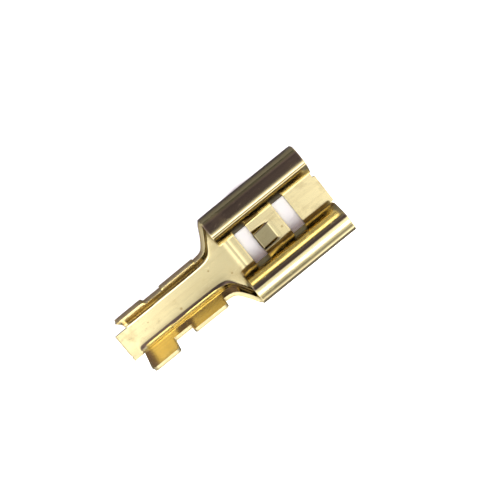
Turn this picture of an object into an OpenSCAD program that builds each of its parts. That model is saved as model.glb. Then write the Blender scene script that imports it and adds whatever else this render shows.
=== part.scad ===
// Female spade terminal, stamped and folded from one strip of brass.
// X runs along the terminal with the mouth at +X, Z is up, and the floor of the
// receptacle lies on Z = 0. The origin is at the middle of the footprint.

/* [Sheet] */
// Thickness of the brass strip
sheet_t = 0.32; // [0.3:0.02:0.4]

/* [Receptacle] */
// Width across the outsides of the two curls
box_w = 7.8; // [7.4:0.1:8.2]
// Length of the receptacle, from its mouth to the back of the curls
box_l = 8.7; // [8:0.1:9.5]
// Height over the curls
curl_top = 3; // [2.9:0.05:3.2]
// Outer radius of the bend from a wall into its curl
curl_bend_r = 0.84; // [0.78:0.02:0.9]
// Outer radius of the flattened top of a curl
curl_crown_r = 2.2; // [1.8:0.1:2.4]
// Outer radius of the ridge along a curl
curl_ridge_r = 0.45; // [0.42:0.01:0.6]
// Outer radius of the flank that comes down from the ridge
curl_flank_r = 4.95; // [4:0.05:5.2]
// Angle that the flank turns through
curl_flank_turn = 22; // [16:1:24]
// Outer radius of the bend between the floor and a wall
bend_r = 0.9; // [0.7:0.05:1]
// Radius on the corners of the curls' free edges
lip_r = 0.4; // [0.2:0.05:0.5]

/* [Windows and locking dimple] */
// Length of the floor in front of the front window
mouth_floor_l = 2.6; // [2.2:0.1:3]
// Length of each window, along the terminal
window_l = 1.1; // [0.8:0.1:1.3]
// Width of the windows, across the floor
window_w = 4.6; // [3.6:0.1:5.2]
// Length of the bridge between the windows
bridge_l = 2.5; // [2.1:0.1:2.8]
// Width of the dimple at its foot
dimple_w = 1.4; // [1.4:0.05:1.6]
// Width of the dimple's crest
dimple_crest_w = 1.3; // [1:0.05:1.35]
// Length of the dimple
dimple_l = 1.4; // [1.2:0.05:1.7]
// Rise of the dimple's open back above the bridge
dimple_h = 0.5; // [0.3:0.05:0.55]
// Thickness left in the dimple's stretched sides
dimple_side_t = 0.14; // [0.1:0.02:0.2]
// Distance of the dimple from the middle of the floor
dimple_shift = -0.28; // [-0.35:0.01:0.35]

/* [Shoulder] */
// Length of the shoulder and neck between the curls and the wire wings
neck_l = 2.1; // [1.9:0.1:2.6]
// Angle of the shoulders to the length of the terminal
shoulder_angle = 60; // [50:1:65]
// Rise of the barrels' floor above the receptacle's floor
step_h = 0.1; // [0.05:0.05:0.4]
// Distance from the back of the curls to the front of the step
step_front = 0.9; // [0.7:0.05:1]
// Length of the step's slope
step_l = 0.6; // [0.5:0.05:0.8]

/* [Crimp barrels] */
// Length of the wire wings
wire_wing_l = 3.1; // [2.6:0.1:3.6]
// Height of the wire wings' tips
wire_wing_top = 3.2; // [2.8:0.1:3.5]
// Length of the gap between the two pairs of wings
wing_gap = 1.55; // [1.2:0.05:2]
// Height of the low walls in the neck and the gap
low_wall_top = 2.15; // [1.9:0.05:2.4]
// Length of the insulation wings
insulation_wing_l = 2.4; // [2:0.1:3]
// Height of the insulation wings' tips
insulation_wing_top = 4.05; // [3.6:0.05:4.5]
// Half width of the barrels' shallow floor, to where the side bends start
barrel_floor = 0.82; // [0.7:0.02:0.9]
// Slope of the shallow floor where the side bends start
barrel_dish = 2.5; // [2:0.5:6]
// Outer radius of the barrels' side bends
barrel_r = 0.85; // [0.75:0.05:1]
// Lean of the wings out from upright
wing_lean = 14; // [8:1:15]
// Radius on the corners of the wings
wing_corner_r = 0.3; // [0.1:0.05:0.4]

/* [Strip cut-offs] */
// Width of the tabs left where the terminal was cut from its strip
cut_tab_w = 2.35; // [1.8:0.05:2.6]
// Length of the tab left at the mouth
front_tab_l = 0.2; // [0.1:0.05:0.4]
// Distance of the tabs from the middle of the floor
cut_tab_shift = -0.3; // [-0.35:0.05:0.35]
// Length of the tab left behind the insulation wings
rear_tab_l = 1.1; // [0.8:0.1:1.4]
// Radius on the corners of the rear tab
rear_tab_r = 0.3; // [0.1:0.05:0.5]

/* [Hidden] */
$fn = 96;

// Places along the terminal, from the mouth back
overall_l = front_tab_l + box_l + neck_l + wire_wing_l + wing_gap + insulation_wing_l + rear_tab_l;
mouth_x = overall_l / 2 - front_tab_l;
front_window_x = mouth_x - mouth_floor_l;
bridge_x = front_window_x - window_l;
rear_window_x = bridge_x - bridge_l;
curls_back_x = mouth_x - box_l;
step_foot_x = curls_back_x + step_front;
wire_x = curls_back_x - neck_l;
gap_x = wire_x - wire_wing_l;
insulation_x = gap_x - wing_gap;
rear_x = insulation_x - insulation_wing_l;

half_t = sheet_t / 2;
// Turns of a curl: its bend and its crown bring it level, its ridge starts it down
crown_turn = 20;
bend_turn = 90 - crown_turn;
ridge_turn = 50;
// Height where a wall hands over to its curl
curl_z = curl_top - curl_bend_r * sin(bend_turn) - curl_crown_r * (1 - cos(crown_turn));
// Where the low walls hand over to the curls, above the receptacle's bends
wall_join_z = 1.3;
// The shoulder's skin is held this much inside the sheets that it joins
skin = 0.01;
// Half length of the short straight that joins one piece of a section to the next
seam = 0.01;
// How far the shoulder runs into the sheets that it joins
lap = 0.12;
// Half width outside the low walls of the barrels, at their tips
barrel_tip = sheet_x(barrel_floor, barrel_dish, barrel_r, wing_lean, low_wall_top - step_h, 1);
// Stations along the shoulder, and points on each bend of its section
stations = 36;
bend_steps = 8;
cut = 0.05;

// ---- One side of a folded section, as a path of sheet ----

// Half of a folded strip that starts level at the origin. A pair [length, 0] is
// straight and a pair [r, a] turns up through a degrees at a middle radius of r.
module folded(path, i = 0) {
    if (i < len(path)) {
        if (i > 0) translate([-seam, -half_t]) square([2 * seam, sheet_t]);
        size = path[i][0];
        turn = path[i][1];
        if (turn == 0) {
            translate([0, -half_t]) square([size, sheet_t]);
            translate([size, 0]) folded(path, i + 1);
        } else {
            translate([0, size]) {
                arc_of_sheet(size, turn);
                rotate(turn) translate([0, -size]) folded(path, i + 1);
            }
        }
    }
}

// A bend of the sheet round the origin, from straight below it through turn degrees.
module arc_of_sheet(r, turn) {
    reach = 2 * (r + sheet_t);
    fan = [for (k = [0:4]) reach * [cos(turn * k / 4 - 90), sin(turn * k / 4 - 90)]];
    intersection() {
        difference() {
            circle(r + half_t);
            circle(r - half_t);
        }
        polygon(concat([[0, 0]], fan));
    }
}

// Both halves of a section, drawn across Y and up Z, carried from x0 to x1.
module channel(path, x0, x1, z) {
    translate([x0, 0, z + half_t]) rotate([90, 0, 90]) linear_extrude(x1 - x0) {
        folded(path);
        mirror([1, 0]) folded(path);
    }
}

// ---- Receptacle: floor, walls and curls ----

module receptacle() {
    floor_half = box_w / 2 - bend_r;
    wall = curl_z - bend_r;
    section = [
        [floor_half, 0],
        [bend_r - half_t, 90],
        [wall, 0],
        [curl_bend_r - half_t, bend_turn],
        [curl_crown_r - half_t, crown_turn],
        [curl_ridge_r - half_t, ridge_turn],
        [curl_flank_r - half_t, curl_flank_turn]
    ];
    channel(section, step_foot_x, mouth_x, 0);
    // behind the step only the upper walls and the curls carry on
    intersection() {
        channel(section, curls_back_x, step_foot_x + cut, 0);
        translate([curls_back_x - 1, -box_w, wall_join_z]) cube([box_l, 2 * box_w, curl_top]);
    }
}

// Cutter that rounds the lower corner of a curl's free edge, for an edge at x
// that faces along dir.
module lip_corner(x, dir) {
    low = ridge_turn + curl_flank_turn;
    edge_z = curl_top - curl_ridge_r * (1 - cos(ridge_turn))
        - curl_flank_r * (cos(ridge_turn) - cos(low)) - sheet_t * cos(low);
    edge_y = box_w / 2 - curl_bend_r * (1 - cos(bend_turn)) - curl_crown_r * sin(crown_turn)
        - curl_ridge_r * sin(ridge_turn) - curl_flank_r * (sin(low) - sin(ridge_turn));
    reach = 3 * sheet_t;
    for (side = [-1, 1]) translate([x, side * edge_y, edge_z])
        difference() {
            translate([-lip_r, -reach / 2, -lip_r]) cube([2 * lip_r, reach, 2 * lip_r]);
            translate([-dir * lip_r, reach, lip_r]) rotate([90, 0, 0]) cylinder(r = lip_r, h = 2 * reach);
            translate([dir > 0 ? -3 * lip_r : 0, -reach, -2 * lip_r]) cube([2 * lip_r, 2 * reach, 4 * lip_r]);
        }
}

module window(x) {
    translate([x - window_l, -window_w / 2, -cut]) cube([window_l, window_w, sheet_t + 2 * cut]);
}

// The locking dimple: a ramp pressed up out of the bridge and sheared open at its back.
module dimple_block(z, grow, inset) {
    long = dimple_l + grow;
    rise = dimple_h * long / dimple_l;
    foot_w = dimple_w - 2 * inset;
    crest_w = dimple_crest_w - 2 * inset;
    translate([rear_window_x - grow, dimple_shift, z]) hull() {
        translate([0, -foot_w / 2, -cut]) cube([long, foot_w, cut]);
        translate([0, crest_w / 2, 0]) rotate([90, 0, 0]) linear_extrude(crest_w)
            polygon([[0, 0], [long, 0], [0, rise]]);
    }
}

// ---- Shoulder: the lofted channel between the receptacle and the barrels ----

function smooth(u) = let (v = max(0, min(1, u))) v * v * (3 - 2 * v);
// How far the section has opened from the barrel, 0, to the receptacle, 1
function hinge(x) = let (d = (x - hinge_x) * tan(shoulder_angle)) (d + sqrt(d * d + hinge_c * hinge_c)) / 2;
spread = box_w / 2 - barrel_tip;
hinge_c = 0.6;
hinge_x = curls_back_x - (spread - hinge_c * hinge_c / (4 * spread)) / tan(shoulder_angle);
function opened(x) = min(1, hinge(x) / spread);
function floor_z(x) = step_h * smooth((step_foot_x - x) / step_l);
function mix(a, b, k) = a + (b - a) * k;
function wall_top(x) = x > curls_back_x ? wall_join_z + lap
    : mix(low_wall_top - cut, curl_z, smooth((x - hinge_x) / (curls_back_x - hinge_x)));

// A shallow floor of half length b that has turned through dish degrees at its end,
// then a bend of middle radius r, then a wall that leans out by lean degrees.
// Each point is [y, z, slope], from the middle out.
function floor_part(b, dish, s) = let (a = dish * s / b, r = b / (dish * PI / 180))
    dish < 0.01 ? [s, 0, 0] : [r * sin(a), r * (1 - cos(a)), a];
function bend_part(b, dish, r, a) = let (e = floor_part(b, dish, b))
    [e[0] + r * (sin(a) - sin(dish)), e[1] + r * (cos(dish) - cos(a)), a];
function wall_part(b, dish, r, lean, z) = let (e = bend_part(b, dish, r, 90 - lean))
    [e[0] + (z - e[1]) * tan(lean), z, 90 - lean];
// Distance from the middle to the wall at a height z above the sheet's underside,
// on the outer face for side = 1 and the inner face for side = -1
function sheet_x(b, dish, r, lean, z, side) =
    wall_part(b, dish, r - half_t, lean, z - half_t)[0] + side * half_t * cos(lean);

function half_section(x) = let (
        k = opened(x),
        b = mix(barrel_floor, box_w / 2 - bend_r, k),
        dish = mix(barrel_dish, 0, k),
        r = mix(barrel_r, bend_r, k) - half_t,
        lean = mix(wing_lean, 0, k),
        z0 = floor_z(x) + half_t,
        top = wall_top(x) - z0
    ) [
        for (i = [0:3]) lift(floor_part(b, dish, b * i / 4), z0),
        for (i = [0:bend_steps]) lift(bend_part(b, dish, r, mix(dish, 90 - lean, i / bend_steps)), z0),
        lift(wall_part(b, dish, r, lean, top), z0)
    ];
function lift(p, z) = [p[0], p[1] + z, p[2]];
// Move a point of the middle line to one face of the sheet
function face_point(p, x, side, off) = [x, side * (p[0] + off * sin(p[2])), p[1] - off * cos(p[2])];

module shoulder() {
    x0 = wire_x - lap;
    x1 = step_foot_x + lap;
    off = half_t - skin;
    halves = [for (i = [0:stations]) half_section(mix(x0, x1, i / stations))];
    n = len(halves[0]);
    m = 2 * n - 1;
    // each ring runs over the outer face from -Y to +Y and back along the inner face
    rings = [for (i = [0:stations]) let (x = mix(x0, x1, i / stations), h = halves[i]) concat(
        [for (j = [n - 1:-1:0]) face_point(h[j], x, -1, off)],
        [for (j = [1:n - 1]) face_point(h[j], x, 1, off)],
        [for (j = [n - 1:-1:0]) face_point(h[j], x, 1, -off)],
        [for (j = [1:n - 1]) face_point(h[j], x, -1, -off)]
    )];
    ring_n = 2 * m;
    points = [for (ring = rings) for (p = ring) p];
    skins = [for (i = [0:stations - 1]) for (j = [0:ring_n - 1]) let (
            a = i * ring_n + j,
            b = i * ring_n + (j + 1) % ring_n,
            c = b + ring_n,
            d = a + ring_n
        ) each [[a, c, b], [a, d, c]]];
    ends = [for (end = [0, stations]) for (j = [0:m - 2]) let (
            a = end * ring_n + j,
            b = a + 1,
            d = end * ring_n + ring_n - 1 - j,
            c = d - 1
        ) each (end == 0 ? [[a, b, c], [a, c, d]] : [[a, c, b], [a, d, c]])];
    polyhedron(points, concat(skins, ends), convexity = 8);
}

// ---- Crimp barrels ----

// Length of wall above the side bend that brings its tip to z
function wall_l(z) = let (e = bend_part(barrel_floor, barrel_dish, barrel_r - half_t, 90 - wing_lean))
    (z - step_h - half_t - e[1]) / cos(wing_lean);
function barrel(z) = [
    [barrel_floor / (barrel_dish * PI / 180), barrel_dish],
    [barrel_r - half_t, 90 - wing_lean - barrel_dish],
    [wall_l(z), 0]
];

// Cutter that rounds the upper corner of a wing at x, for an edge that faces dir.
module wing_corner(x, z, dir) {
    r = wing_corner_r;
    translate([x - dir * r, 0, z - r]) difference() {
        translate([dir > 0 ? 0 : -2 * r, -box_w / 2, 0]) cube([2 * r, box_w, 3 * r]);
        rotate([90, 0, 0]) cylinder(r = r, h = 2 * box_w, center = true);
    }
}

module barrels() {
    difference() {
        union() {
            channel(barrel(low_wall_top), rear_x, wire_x, step_h);
            channel(barrel(wire_wing_top), gap_x, wire_x, step_h);
            channel(barrel(insulation_wing_top), rear_x, insulation_x, step_h);
        }
        wing_corner(wire_x, wire_wing_top + 0.05, 1);
        wing_corner(gap_x, wire_wing_top + 0.05, -1);
        wing_corner(insulation_x, insulation_wing_top + 0.05, 1);
        wing_corner(rear_x, insulation_wing_top + 0.05, -1);
    }
}

// ---- Tabs left by the strip ----

module rear_tab() {
    long = rear_tab_l - rear_tab_r;
    translate([rear_x - rear_tab_l, cut_tab_shift, step_h]) linear_extrude(sheet_t) {
        translate([rear_tab_r, -cut_tab_w / 2]) square([long + cut, cut_tab_w]);
        translate([0, rear_tab_r - cut_tab_w / 2]) square([rear_tab_l, cut_tab_w - 2 * rear_tab_r]);
        for (side = [-1, 1]) translate([rear_tab_r, side * (cut_tab_w / 2 - rear_tab_r)]) circle(rear_tab_r);
    }
}

module front_tab() {
    translate([mouth_x - cut, cut_tab_shift - cut_tab_w / 2, 0])
        cube([front_tab_l + cut, cut_tab_w, sheet_t]);
}

module terminal() {
    color("#d9b667") {
        difference() {
            union() {
                difference() {
                    receptacle();
                    window(front_window_x);
                    window(rear_window_x);
                    lip_corner(mouth_x, 1);
                    lip_corner(curls_back_x, -1);
                }
                dimple_block(sheet_t, 0, 0);
            }
            dimple_block(0, cut, dimple_side_t);
        }
        shoulder();
        barrels();
        rear_tab();
        front_tab();
    }
}

terminal();
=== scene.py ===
import math

import bpy
import numpy as np
from mathutils import Matrix, Vector


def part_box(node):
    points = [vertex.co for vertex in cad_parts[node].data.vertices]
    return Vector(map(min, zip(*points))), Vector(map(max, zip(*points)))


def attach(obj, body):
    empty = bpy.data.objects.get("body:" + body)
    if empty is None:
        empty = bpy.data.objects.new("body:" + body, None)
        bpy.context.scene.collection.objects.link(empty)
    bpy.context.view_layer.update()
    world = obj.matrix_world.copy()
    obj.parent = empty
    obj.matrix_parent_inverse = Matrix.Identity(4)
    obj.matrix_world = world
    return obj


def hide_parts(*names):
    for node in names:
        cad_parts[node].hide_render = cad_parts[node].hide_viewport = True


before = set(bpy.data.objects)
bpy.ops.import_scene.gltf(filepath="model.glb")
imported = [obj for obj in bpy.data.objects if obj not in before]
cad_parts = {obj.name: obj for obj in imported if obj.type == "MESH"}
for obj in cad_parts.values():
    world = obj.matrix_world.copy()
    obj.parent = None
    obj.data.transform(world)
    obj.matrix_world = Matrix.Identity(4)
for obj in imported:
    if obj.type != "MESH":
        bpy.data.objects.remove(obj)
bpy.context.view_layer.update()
nodeLow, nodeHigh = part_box("terminal")
print("frame loaded")

mm = 0.001

# sizes of the folded strip in mm, measured back from the front cut-off tab where they lie along X
strip = {
    "thickness": 0.32,
    "boxWidth": 7.8,          # over the curls
    "frontTab": 0.2,
    "boxLength": 8.7,
    "mouthFloor": 2.6,
    "window": 1.1,
    "bridge": 2.5,
    "windowWidth": 4.6,
    "bendRadius": 0.9,        # outer, floor to wall
    "curl": ((0.84, 70), (2.2, 20), (0.45, 50), (4.95, 22)),    # outer radius and turn of each arc
    "curlTop": 3.0,
    "neck": 2.1,
    "shoulderAngle": 60.0,
    "shoulderSoft": 0.6,      # how gently the shoulder starts
    "stepRise": 0.1,
    "stepFront": 0.9,
    "stepLength": 0.6,
    "wireWing": 3.1,
    "wireWingTop": 3.2,
    "wingGap": 1.55,
    "lowWallTop": 2.15,
    "insulationWing": 2.4,
    "insulationWingTop": 4.05,
    "barrelFloor": 0.82,      # half width of the shallow floor
    "barrelDish": 2.5,        # degrees that it has turned at its edge
    "barrelRadius": 0.85,     # outer, floor to wing
    "wingLean": 14.0,
    "rearTab": 1.1,
    "cutTabWidth": 2.35,
    "tabShift": -0.3,
    "cornerRear": 0.3,
    "cornerWing": 0.3,
    "cornerLip": 0.4,
    "edgeRound": 0.045,       # rounding of the sheared edges
    "edgeAngle": 50.0,        # sharper corners than this are rounded
    "edgeSegments": 3,
    "boxDish": 0.02,          # degrees: the receptacle's floor is flat, but its arc needs a radius
    "flatStart": 0.02,        # how the rear tab comes flat out of the dished floor: where, over
    "flatLength": 0.3,        # what length, and how much wider its flat is
    "flatWiden": 0.8,
    "cell": 0.13,             # mesh spacing along
    "floorCells": 60,         # mesh cells across: half a tab or window, on to the low wall's top,
    "wallCells": 34,          # and up a wing or round a curl
    "wingCells": 60,
    "keyBlend": 1.2,          # over what length the mesh's key line goes from tab to window
    "keyFront": 0.3,
    "shiftReach": 2.0,
    "backShift": 50.0,        # the back of the sheet takes its pattern from another place
}

# the locking dimple pressed out of the bridge, in mm
dimple = {"across": -0.28, "width": 1.4, "length": 1.4, "rise": 0.5, "side": 0.1, "foot": 0.06,
          "sag": 0.02, "sagWidth": 0.26}

half = strip["thickness"] / 2
frontX = nodeHigh.x / mm
mouthX = frontX - strip["frontTab"]
curlsBackX = mouthX - strip["boxLength"]
frontWindowX = mouthX - strip["mouthFloor"]
bridgeX = frontWindowX - strip["window"]
rearWindowX = bridgeX - strip["bridge"]
rearWindowBackX = rearWindowX - strip["window"]
stepFootX = curlsBackX + strip["stepFront"]
wireX = curlsBackX - strip["neck"]
gapX = wireX - strip["wireWing"]
insulationX = gapX - strip["wingGap"]
rearX = insulationX - strip["insulationWing"]
tabEndX = rearX - strip["rearTab"]


def smooth(u):
    v = np.clip(u, 0.0, 1.0)
    return v * v * (3 - 2 * v)


def mixed(a, b, k):
    return a + (b - a) * k


def barrelTip():
    # half width outside the low wall's tip: floor, then bend, then leaning wall
    b, r = strip["barrelFloor"], strip["barrelRadius"] - half
    dish, lean = math.radians(strip["barrelDish"]), math.radians(strip["wingLean"])
    big = b / dish
    y = big * math.sin(dish) + r * (math.cos(lean) - math.sin(dish))
    z = big * (1 - math.cos(dish)) + r * (math.cos(dish) - math.sin(lean))
    rise = strip["lowWallTop"] - strip["stepRise"] - half - z
    return y + rise * math.tan(lean) + half * math.cos(lean)


spread = strip["boxWidth"] / 2 - barrelTip()
shoulderTan = math.tan(math.radians(strip["shoulderAngle"]))
hingeX = curlsBackX - (spread - strip["shoulderSoft"]**2 / (4 * spread)) / shoulderTan


def opened(x):
    # 0 in the barrels, 1 in the receptacle, and a straight shoulder with a soft start between
    d = (x - hingeX) * shoulderTan
    return np.minimum(1.0, (d + np.sqrt(d * d + strip["shoulderSoft"]**2)) / 2 / spread)


def curlStart():
    # height where a wall hands over to its curl: the top less what the first arcs climb
    z, a = strip["curlTop"], 0.0
    for r, turn in strip["curl"]:
        b = min(a + math.radians(turn), math.pi / 2)
        z -= r * (math.sin(b) - math.sin(a))
        a = b
    return z


def curlPoint(u):
    # inward and upward reach of the middle of the sheet at u along the curl, arc after arc
    inward, upward = np.zeros_like(u), np.zeros_like(u)
    a, start = 0.0, 0.0
    for r, turn in strip["curl"]:
        rm, b = r - half, math.radians(turn)
        t = np.clip((u - start) / rm, 0, b)
        inward = inward + rm * (math.cos(a) - np.cos(a + t))
        upward = upward + rm * (np.sin(a + t) - math.sin(a))
        a, start = a + b, start + rm * b
    return inward, upward


curlLength = sum((r - half) * math.radians(turn) for r, turn in strip["curl"])


def sectionAt(x):
    # what the section is made of at each x: floor, bend and wall, as in the CAD model
    k = opened(x)
    sec = {}
    flat = strip["flatWiden"] * smooth((rearX + strip["flatStart"] - x) / strip["flatLength"])
    sec["b"] = mixed(strip["barrelFloor"], strip["boxWidth"] / 2 - strip["bendRadius"], k) + flat
    sec["dish"] = np.radians(mixed(strip["barrelDish"], strip["boxDish"], k))
    sec["r"] = mixed(strip["barrelRadius"], strip["bendRadius"], k) - half
    sec["lean"] = np.radians(mixed(strip["wingLean"], 0.0, k))
    sec["z0"] = strip["stepRise"] * smooth((stepFootX - x) / strip["stepLength"]) + half
    curlZ = curlStart()
    neckTop = mixed(strip["lowWallTop"], curlZ, smooth((x - hingeX) / (curlsBackX - hingeX)))
    sec["top"] = np.where(x > curlsBackX - 1e-6, curlZ, neckTop)
    big = sec["b"] / sec["dish"]
    sec["big"] = big
    sec["yBend"] = big * np.sin(sec["dish"])
    sec["zBend"] = big * (1 - np.cos(sec["dish"]))
    sec["turn"] = math.pi / 2 - sec["lean"] - sec["dish"]
    sec["yWall"] = sec["yBend"] + sec["r"] * (np.cos(sec["lean"]) - np.sin(sec["dish"]))
    sec["zWall"] = sec["zBend"] + sec["r"] * (np.cos(sec["dish"]) - np.sin(sec["lean"]))
    sec["sWall"] = sec["b"] + sec["r"] * sec["turn"]
    sec["sLow"] = sec["sWall"] + (sec["top"] - sec["z0"] - sec["zWall"]) / np.cos(sec["lean"])
    return sec


def sheetPoint(x, s):
    # the middle of the sheet at x along the terminal and s across the flat blank:
    # a shallow arc of radius big, a bend of radius r, a straight wall, and in the
    # receptacle a curl of the curl's radius above it
    sec = sectionAt(x)
    side = np.sign(s) + (s == 0)
    d = np.abs(s)
    a = np.minimum(d, sec["b"]) / sec["big"]
    y = sec["big"] * np.sin(a)
    z = sec["big"] * (1 - np.cos(a))
    a = sec["dish"] + np.clip((d - sec["b"]) / sec["r"], 0, sec["turn"])
    y = y + sec["r"] * (np.sin(a) - np.sin(sec["dish"]))
    z = z + sec["r"] * (np.cos(sec["dish"]) - np.cos(a))
    inBox = x > curlsBackX - 1e-4
    up = np.maximum(d - sec["sWall"], 0)
    straight = np.where(inBox, np.minimum(up, sec["sLow"] - sec["sWall"]), up)
    y = y + straight * np.sin(sec["lean"])
    z = z + straight * np.cos(sec["lean"])
    inward, upward = curlPoint(np.where(inBox, np.maximum(d - sec["sLow"], 0), 0))
    y = y - inward
    z = z + upward
    z = z + sec["z0"] + dimpleRise(x, y * side, d, sec)
    return np.stack([x, y * side, z], -1)


def dimpleRise(x, y, d, sec):
    # a flat ramp up to the open back between steep sides, in a strip that sags a little towards it
    up = rearWindowX + dimple["length"] - x
    inside = dimple["width"] / 2 - np.abs(y - dimple["across"])
    foot = dimple["foot"]
    ramp = dimple["rise"] / dimple["length"] * (up + np.sqrt(up * up + foot * foot)) / 2
    onFloor = (d < sec["b"]) & (x > rearWindowX - 0.01)
    gap = np.sqrt(np.maximum(-up, 0)**2 + np.maximum(-inside, 0)**2)
    sag = -dimple["sag"] * np.clip(1 - gap / dimple["sagWidth"], 0, 1)
    return np.where(onFloor, sag + ramp * smooth(inside / dimple["side"] + 0.5), 0)


def linesBetween(keys, step):
    # cell borders that hit every key place, about step apart
    out = [keys[0]]
    for a, b in zip(keys[:-1], keys[1:]):
        n = max(2, int(round((b - a) / step)))
        out.extend(a + (b - a) * np.arange(1, n + 1) / n)
    return np.array(out)


def roundCorner(x, s, xc, sc, dx, ds, r):
    # moves the square block of size r at a corner of the blank onto a quarter disc:
    # (a, b) goes to (a sqrt(1 - b^2/2), b sqrt(1 - a^2/2)), measured from the block's inner corner
    a = 1 - (x - xc) / (dx * r)
    b = 1 - (s - sc) / (ds * r)
    inside = (a >= 0) & (a <= 1 + 1e-9) & (b >= 0) & (b <= 1 + 1e-9)
    na = a * np.sqrt(np.maximum(1 - b * b / 2, 0))
    nb = b * np.sqrt(np.maximum(1 - a * a / 2, 0))
    return (np.where(inside, xc + dx * r * (1 - na), x),
            np.where(inside, sc + ds * r * (1 - nb), s))


def addMesh(name, verts, faces):
    mesh = bpy.data.meshes.new(name)
    mesh.from_pydata(verts.tolist(), [], faces.tolist())
    mesh.update()
    obj = bpy.data.objects.new(name, mesh)
    bpy.context.scene.collection.objects.link(obj)
    return obj


def flatBlank(xs, sec):
    # the grid on the flat blank: x and s of its points, which cells hold metal
    tabHalf = strip["cutTabWidth"] / 2
    # one key line crosses the floor: the cut-off tabs' sides at the ends, the windows' sides between
    blend, reach = strip["keyBlend"], strip["shiftReach"]
    toWindow = smooth((xs - curlsBackX) / blend) * smooth((mouthX - strip["keyFront"] - xs) / blend)
    shift = strip["tabShift"] * (smooth((xs - frontWindowX) / reach) + smooth((gapX - xs) / reach))
    key = mixed(tabHalf, strip["windowWidth"] / 2, toWindow)
    # how far the wings and curls go on past the low wall's top
    lean = np.cos(np.radians(strip["wingLean"]))
    high = np.zeros(len(xs))
    for back, front, top in ((rearX, insulationX, "insulationWingTop"), (gapX, wireX, "wireWingTop")):
        high = np.where((xs >= back - 1e-6) & (xs <= front + 1e-6),
                        (strip[top] - strip["lowWallTop"]) / lean, high)
    high = np.where(xs >= curlsBackX - 1e-6, curlLength, high)

    floorPart = np.arange(strip["floorCells"] + 1) / strip["floorCells"]
    wallPart = np.arange(1, strip["wallCells"] + 1) / strip["wallCells"]
    wingPart = np.arange(1, strip["wingCells"] + 1) / strip["wingCells"]

    def halfLines(sign):
        k, low, up = key[:, None] + sign * shift[:, None], sec["sLow"][:, None], high[:, None]
        return sign * np.concatenate([k * floorPart, k + (low - k) * wallPart, low + up * wingPart], 1)

    across = np.concatenate([halfLines(-1)[:, :0:-1], halfLines(1)], 1)
    along = np.repeat(xs[:, None], across.shape[1], 1)
    # which cells hold metal
    halfCells = across.shape[1] // 2
    lane = np.abs(np.arange(2 * halfCells) + 0.5 - halfCells)[None, :]
    mid = ((xs[:-1] + xs[1:]) / 2)[:, None]
    onKey, onLow = lane < strip["floorCells"], lane < strip["floorCells"] + strip["wallCells"]
    body = (mid > rearX) & (mid < mouthX) & onLow
    tabs = ((mid < rearX) | (mid > mouthX)) & onKey
    wings = (((mid > rearX) & (mid < insulationX)) | ((mid > gapX) & (mid < wireX)) |
             ((mid > curlsBackX) & (mid < mouthX))) & ~onLow
    inWindow = ((mid > bridgeX) & (mid < frontWindowX)) | ((mid > rearWindowBackX) & (mid < rearWindowX))
    metal = (body & ~(inWindow & onKey)) | tabs | wings
    # round the blank's corners
    for sign in (1, -1):
        along, across = roundCorner(along, across, tabEndX, sign * tabHalf, 1, -sign, strip["cornerRear"])
        for x0, dx, r in ((rearX, 1, "cornerWing"), (insulationX, -1, "cornerWing"), (gapX, 1, "cornerWing"),
                          (wireX, -1, "cornerWing"), (curlsBackX, 1, "cornerLip"), (mouthX, -1, "cornerLip")):
            i = int(np.argmin(np.abs(xs - x0)))
            along, across = roundCorner(along, across, x0, sign * (sec["sLow"][i] + high[i]), dx, -sign,
                                        strip[r])
    return along, across, metal


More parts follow.
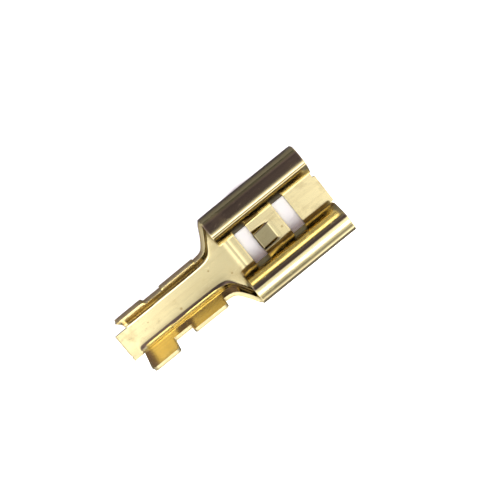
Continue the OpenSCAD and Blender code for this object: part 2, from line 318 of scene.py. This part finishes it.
def foldedStrip():
    xs = linesBetween([tabEndX, tabEndX + strip["cornerRear"], rearX, rearX + strip["cornerWing"],
                       insulationX - strip["cornerWing"], insulationX, gapX, gapX + strip["cornerWing"],
                       wireX - strip["cornerWing"], wireX, curlsBackX, curlsBackX + strip["cornerLip"],
                       rearWindowBackX, rearWindowX, rearWindowX + dimple["length"], bridgeX,
                       frontWindowX, mouthX - strip["cornerLip"], mouthX, frontX], strip["cell"])
    along, across, metal = flatBlank(xs, sectionAt(xs))
    # points on both faces: half the thickness either way along the sheet's normal
    e = 1e-4
    middle = sheetPoint(along, across)
    behind = np.where(along > curlsBackX - 1e-4, np.maximum(along - e, curlsBackX), along - e)
    forward = sheetPoint(along + e, across) - sheetPoint(behind, across)
    sideways = sheetPoint(along, across + e) - sheetPoint(along, across - e)
    normal = np.cross(forward, sideways)
    normal = normal / np.linalg.norm(normal, axis=-1, keepdims=True)
    upper = (middle + normal * half).reshape(-1, 3)
    lower = (middle - normal * half).reshape(-1, 3)
    total = across.size
    ids = np.arange(total).reshape(across.shape)
    a, b, c, d = ids[:-1, :-1], ids[1:, :-1], ids[1:, 1:], ids[:-1, 1:]
    quads = np.stack([a, b, c, d], -1)[metal]
    faces = [quads, quads[:, ::-1] + total]
    # rims: wherever a cell of metal has no neighbour
    pad = np.pad(metal, 1)
    for gone, p, q in ((pad[:-2, 1:-1], a, d), (pad[2:, 1:-1], c, b),
                       (pad[1:-1, :-2], b, a), (pad[1:-1, 2:], d, c)):
        rim = metal & ~gone
        faces.append(np.stack([p[rim], q[rim], q[rim] + total, p[rim] + total], -1))
    cut = np.unique(np.concatenate(faces[2:]))
    verts = np.concatenate([upper, lower]) * mm
    used, faces = np.unique(np.concatenate(faces), return_inverse=True)
    obj = addMesh("folded_brass", verts[used], faces.reshape(-1, 4))
    # where each point lies on the flat blank in mm, and how near it is to a sheared edge
    side = np.repeat([0.0, strip["backShift"]], total)
    blank = np.stack([np.tile(along.ravel(), 2), np.tile(across.ravel(), 2), side], -1)[used]
    sheared = np.isin(used, cut)
    blankData = obj.data.attributes.new("blank", "FLOAT_VECTOR", "POINT").data
    blankData.foreach_set("vector", blank.astype(np.float32).ravel())
    shearedData = obj.data.attributes.new("sheared", "FLOAT", "POINT").data
    shearedData.foreach_set("value", sheared.astype(np.float32))
    bevel = obj.modifiers.new("shearedEdge", "BEVEL")
    bevel.width = strip["edgeRound"] * mm
    bevel.segments = strip["edgeSegments"]
    bevel.limit_method = "ANGLE"
    bevel.angle_limit = math.radians(strip["edgeAngle"])
    bevel.use_clamp_overlap = True
    for poly in obj.data.polygons:
        poly.use_smooth = True
    return obj


def linear(hexColour):
    # sRGB hex to linear rgb
    out = []
    for i in (0, 2, 4):
        c = int(hexColour.lstrip("#")[i:i + 2], 16) / 255
        out.append(c / 12.92 if c <= 0.04045 else ((c + 0.055) / 1.055) ** 2.4)
    return tuple(out) + (1.0,)


def addNode(tree, kind, inputs=None, links=None, **settings):
    node = tree.nodes.new(kind)
    for name, value in settings.items():
        setattr(node, name, value)

    def socketOf(name):
        if isinstance(name, int):
            return node.inputs[name]
        return next(s for s in node.inputs if s.name == name and s.enabled)

    for name, value in (inputs or {}).items():
        socketOf(name).default_value = value
    for name, socket in (links or {}).items():
        tree.links.new(socket, socketOf(name))
    return node


# brass strip: sizes in mm along and across the blank, marks are [along, across, radius]
brass = {
    "colour": "#F2E2AE", "tarnish": "#BFA164", "roughness": 0.13,
    "rollingLong": 5.0, "rollingAcross": 0.05, "rollingDepth": 0.0006,
    "waveLong": 2.56, "waveAcross": 1.6, "waveDepth": 0.005,
    "streakLong": 7.0, "streakAcross": 0.35, "streakRange": (0.42, 0.7), "streakTarnish": 0.14,
    "smudgeSize": 1.3, "smudgeRange": (0.5, 0.72), "smudgeTarnish": 0.2, "smudgeRough": 0.08,
    "scuffLong": 0.66, "scuffAcross": 0.22, "scuffRange": (0.58, 0.7), "scuffRough": 0.12,
    "shearedRough": 0.2,
    "marks": ((-4.43, -0.58, 0.11), (5.3, -0.55, 0.1), (-1.1, 0.35, 0.07), (0.2, -0.9, 0.09),
              (-7.0, 0.2, 0.06)),
    "markTarnish": 0.65,
}


def brightBrass():
    # cold rolled strip: fine lines along its length, slow waves from folding, smudges and a few dark specks
    # that break the reflections, and duller sheared edges
    mat = bpy.data.materials.new("brightRolledBrass")
    mat.use_nodes = True
    tree = mat.node_tree
    tree.nodes.clear()
    blank = addNode(tree, "ShaderNodeAttribute", attribute_name="blank").outputs["Vector"]
    sheared = addNode(tree, "ShaderNodeAttribute", attribute_name="sheared").outputs["Fac"]

    def noise(long, across, detail, shift, rough=0.5):
        scaled = addNode(tree, "ShaderNodeMapping",
                         {"Scale": (1 / long, 1 / across, 1.0), "Location": (shift, shift, shift)},
                         {"Vector": blank})
        return addNode(tree, "ShaderNodeTexNoise", {"Scale": 1.0, "Detail": detail, "Roughness": rough},
                       {"Vector": scaled.outputs[0]}).outputs["Fac"]

    def ranged(source, low, high, top=1.0):
        return addNode(tree, "ShaderNodeMapRange", {"From Min": low, "From Max": high, "To Max": top},
                       {"Value": source}, interpolation_type="SMOOTHSTEP").outputs["Result"]

    def maths(operation, first, second):
        node = addNode(tree, "ShaderNodeMath", operation=operation)
        for i, value in enumerate((first, second)):
            if isinstance(value, (int, float)):
                node.inputs[i].default_value = value
            else:
                tree.links.new(value, node.inputs[i])
        return node.outputs[0]

    def weighed(*terms):
        # the sum of each source times its weight
        total = 0.0
        for source, weight in terms:
            total = maths("ADD", total, maths("MULTIPLY", source, weight))
        return total

    smudge = ranged(noise(brass["smudgeSize"], brass["smudgeSize"], 4.0, 3.1, 0.6), *brass["smudgeRange"])
    streak = ranged(noise(brass["streakLong"], brass["streakAcross"], 3.0, 7.7), *brass["streakRange"])
    scuff = ranged(noise(brass["scuffLong"], brass["scuffAcross"], 5.0, 1.9, 0.65), *brass["scuffRange"])
    dark = weighed((smudge, brass["smudgeTarnish"]), (streak, brass["streakTarnish"]))
    for along, across, radius in brass["marks"]:
        away = addNode(tree, "ShaderNodeVectorMath", {1: (along, across, 0.0)}, {0: blank},
                       operation="DISTANCE")
        dark = maths("MAXIMUM", dark, ranged(away.outputs["Value"], radius * 1.5, radius * 0.4,
                                             brass["markTarnish"]))
    colour = addNode(tree, "ShaderNodeMix", {"A": linear(brass["colour"]), "B": linear(brass["tarnish"])},
                     {"Factor": dark}, data_type="RGBA")
    rough = maths("ADD", weighed((smudge, brass["smudgeRough"]), (scuff, brass["scuffRough"]),
                                 (sheared, brass["shearedRough"])), brass["roughness"])
    lines = noise(brass["rollingLong"], brass["rollingAcross"], 3.0, 5.3)
    wave = noise(brass["waveLong"], brass["waveAcross"], 2.0, 9.2)
    height = weighed((lines, brass["rollingDepth"] * mm), (wave, brass["waveDepth"] * mm))
    bump = addNode(tree, "ShaderNodeBump", {"Strength": 1.0, "Distance": 1.0}, {"Height": height})
    shader = addNode(tree, "ShaderNodeBsdfPrincipled", {"Metallic": 1.0},
                     {"Base Color": colour.outputs["Result"], "Roughness": rough,
                      "Normal": bump.outputs["Normal"]})
    addNode(tree, "ShaderNodeOutputMaterial", links={"Surface": shader.outputs["BSDF"]})
    return mat


sheet = foldedStrip()
sheet.data.materials.append(brightBrass())
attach(sheet, "root")
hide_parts("terminal")
print("strip folded")

# table size in metres, what it reflects to the part and to the camera, how far its shadows are lifted for the
# camera outside a circle round the windows, and that circle's middle and soft edge in mm
stageSetup = {"floorSize": 1.2, "drop": 0.02, "bounce": 0.35, "white": 2.5, "lift": 0.9, "windowsX": 4.4,
              "circle": (3.6, 4.2)}


def whiteTable():
    h = stageSetup["floorSize"] / 2
    verts = np.array([[-h, -h, 0], [h, -h, 0], [h, h, 0], [-h, h, 0]], float)
    verts[:, 2] = nodeLow.z - stageSetup["drop"] * mm
    obj = addMesh("table", verts, np.array([[0, 1, 2, 3]]))
    # matt white paint: even and without a shine, brighter for the camera than for the metal's reflections;
    # for the camera it also glows outside the circle round the windows, painted light that lifts the object's
    # shadow there
    mat = bpy.data.materials.new("mattWhitePaintShadowLifted")
    mat.use_nodes = True
    tree = mat.node_tree
    tree.nodes.clear()
    toCamera = addNode(tree, "ShaderNodeLightPath").outputs["Is Camera Ray"]
    coord = addNode(tree, "ShaderNodeTexCoord")
    away = addNode(tree, "ShaderNodeVectorMath", {1: (stageSetup["windowsX"] * mm, 0, 0)},
                   {0: coord.outputs["Object"]}, operation="DISTANCE")
    inner, outer = stageSetup["circle"]
    outside = addNode(tree, "ShaderNodeMapRange", {"From Min": inner * mm, "From Max": outer * mm},
                      {"Value": away.outputs["Value"]}, interpolation_type="SMOOTHSTEP")
    seen = addNode(tree, "ShaderNodeMath", links={0: toCamera, 1: outside.outputs["Result"]},
                   operation="MULTIPLY")
    grey, white = ((stageSetup[name],) * 3 + (1,) for name in ("bounce", "white"))
    tone = addNode(tree, "ShaderNodeMix", {"A": grey, "B": white}, {"Factor": toCamera}, data_type="RGBA")
    matt = addNode(tree, "ShaderNodeBsdfDiffuse", links={"Color": tone.outputs["Result"]})
    # painted light: a glow seen only by the camera, outside the circle, lifts the table's shadow
    lift = addNode(tree, "ShaderNodeMath", {1: stageSetup["lift"]}, {0: seen.outputs[0]},
                   operation="MULTIPLY")
    glow = addNode(tree, "ShaderNodeEmission", links={"Strength": lift.outputs[0]})
    both = addNode(tree, "ShaderNodeAddShader", links={0: matt.outputs[0], 1: glow.outputs[0]})
    addNode(tree, "ShaderNodeOutputMaterial", links={"Surface": both.outputs[0]})
    obj.data.materials.append(mat)
    return obj


whiteTable()

# the studio as a sky seen from the table: strengths by degrees from overhead, across towards -Y and along
# towards +X
studio = {
    # the wide panel overhead
    "panelAcross": ((-90, 0.05), (-52, 0.14), (-38, 0.07), (-18, 0.09), (-4, 0.08), (2, 0.2), (6, 1.0),
                    (12, 1.1), (17, 1.2), (24, 1.3), (31, 1.3), (40, 0.75), (50, 0.25), (58, 0.35),
                    (66, 0.8), (82, 1.6)),
    "panelAlong": ((-35, 0.1), (-20, 0.7), (-13, 1.3), (-8, 1.75), (-6, 1.4), (-4, 1.0), (-2, 0.85),
                   (0, 0.85), (2.5, 1.05), (5, 1.35), (13, 1.5), (21, 1.5), (26, 0.5), (40, 0.3), (58, 0.12)),
    # the lamp in it
    "lampAcross": ((23, 0.0), (26, 1.0), (33, 1.0), (36, 0.0)),
    "lampAlong": ((-12, 0.0), (-8, 4.0), (8, 4.0), (12, 0.0)),
    # the room around it
    "roomAcross": ((-82, 1.5), (-68, 1.1), (-55, 0.5), (-40, 0.36), (-4, 0.36), (2, 0.5), (6, 0.7),
                   (12, 0.42), (17, 0.1), (24, 0.1), (31, 0.45), (40, 0.68), (52, 0.82), (66, 0.99),
                   (82, 1.13)),
    "roomAlong": ((-61, 1.0), (-25, 0.57), (-13, 0.5), (-7, 0.72), (-3.5, 0.24), (-0.5, 0.0), (6.5, 0.0),
                  (17, 0.42), (58, 0.38)),
    # colour across: white, with a dim violet side where nothing lights the room
    "shade": ((-75, (0.82, 0.82, 0.82)), (-52, (0.71, 0.57, 0.8)), (-6, (0.71, 0.57, 0.8)),
              (5, (0.82, 0.82, 0.82))),
}


def studioSky():
    world = bpy.data.worlds.new("studio")
    bpy.context.scene.world = world
    world.use_nodes = True
    tree = world.node_tree
    tree.nodes.clear()
    coord = addNode(tree, "ShaderNodeTexCoord")
    split = addNode(tree, "ShaderNodeSeparateXYZ", links={0: coord.outputs["Generated"]})
    toNear = addNode(tree, "ShaderNodeMath", {1: -1.0}, {0: split.outputs["Y"]}, operation="MULTIPLY")
    across = addNode(tree, "ShaderNodeMath", links={0: toNear.outputs[0], 1: split.outputs["Z"]},
                     operation="ARCTAN2")
    along = addNode(tree, "ShaderNodeMath", links={0: split.outputs["X"]}, operation="ARCSINE")

    def profile(source, points):
        unit = addNode(tree, "ShaderNodeMapRange", {"From Min": -math.pi / 2, "From Max": math.pi / 2},
                       {"Value": source})
        ramp = addNode(tree, "ShaderNodeValToRGB", links={0: unit.outputs["Result"]})
        stops = ramp.color_ramp.elements
        while len(stops) < len(points):
            stops.new(0.5)
        for stop, (angle, value) in zip(stops, points):
            stop.position = (angle + 90) / 180
            stop.color = (*value, 1) if isinstance(value, tuple) else (value, value, value, 1)
        return ramp.outputs["Color"]

    def joined(operation, first, second):
        return addNode(tree, "ShaderNodeMath", links={0: first, 1: second}, operation=operation).outputs[0]

    def product(name):
        return joined("MULTIPLY", profile(across.outputs[0], studio[name + "Across"]),
                      profile(along.outputs[0], studio[name + "Along"]))

    total = joined("ADD", joined("ADD", product("room"), product("panel")), product("lamp"))
    back = addNode(tree, "ShaderNodeBackground",
                   links={"Color": profile(across.outputs[0], studio["shade"]), "Strength": total})
    # the camera itself sees plain white past the table's edge
    path = addNode(tree, "ShaderNodeLightPath")
    plain = addNode(tree, "ShaderNodeBackground", {"Color": (1, 1, 1, 1), "Strength": 1.0})
    both = addNode(tree, "ShaderNodeMixShader",
                   links={0: path.outputs["Is Camera Ray"], 1: back.outputs[0], 2: plain.outputs[0]})
    addNode(tree, "ShaderNodeOutputWorld", links={"Surface": both.outputs[0]})


studioSky()
print("studio lit")

# camera in mm and degrees: nearly straight down, a little from the +Y side, terminal turned in the frame
view = {"distance": 88.6, "tiltAcross": 9.2, "tiltAlong": 0.77, "turn": 39.04, "focal": 1181.0,
        "lookX": 2.32, "shiftRight": 3.95, "shiftDown": 4.8, "frame": 500.0, "sensor": 36.0}


def addCamera():
    tl, ta = math.radians(view["tiltAcross"]), math.radians(view["tiltAlong"])
    turn = math.radians(view["turn"])
    alongAxis = Vector((math.cos(ta), math.sin(ta) * math.sin(tl), math.sin(ta) * math.cos(tl)))
    nearAxis = Vector((0, -math.cos(tl), math.sin(tl)))
    back = alongAxis.cross(-nearAxis).normalized()
    right = alongAxis * math.cos(turn) + nearAxis * math.sin(turn)
    up = back.cross(right)
    perMm = view["focal"] / view["distance"]
    aim = Vector((view["lookX"], 0, 0)) + right * view["shiftRight"] / perMm - up * view["shiftDown"] / perMm
    place = aim + back * view["distance"]
    data = bpy.data.cameras.new("camera")
    data.sensor_width = view["sensor"]
    data.lens = view["focal"] / view["frame"] * view["sensor"]
    data.clip_start = 0.005
    data.clip_end = 20
    obj = bpy.data.objects.new("camera", data)
    obj.matrix_world = Matrix((
        (right.x, up.x, back.x, place.x * mm),
        (right.y, up.y, back.y, place.y * mm),
        (right.z, up.z, back.z, place.z * mm),
        (0, 0, 0, 1)))
    bpy.context.scene.collection.objects.link(obj)
    bpy.context.scene.camera = obj


addCamera()
bpy.context.scene.view_settings.view_transform = "Standard"
print("camera placed")
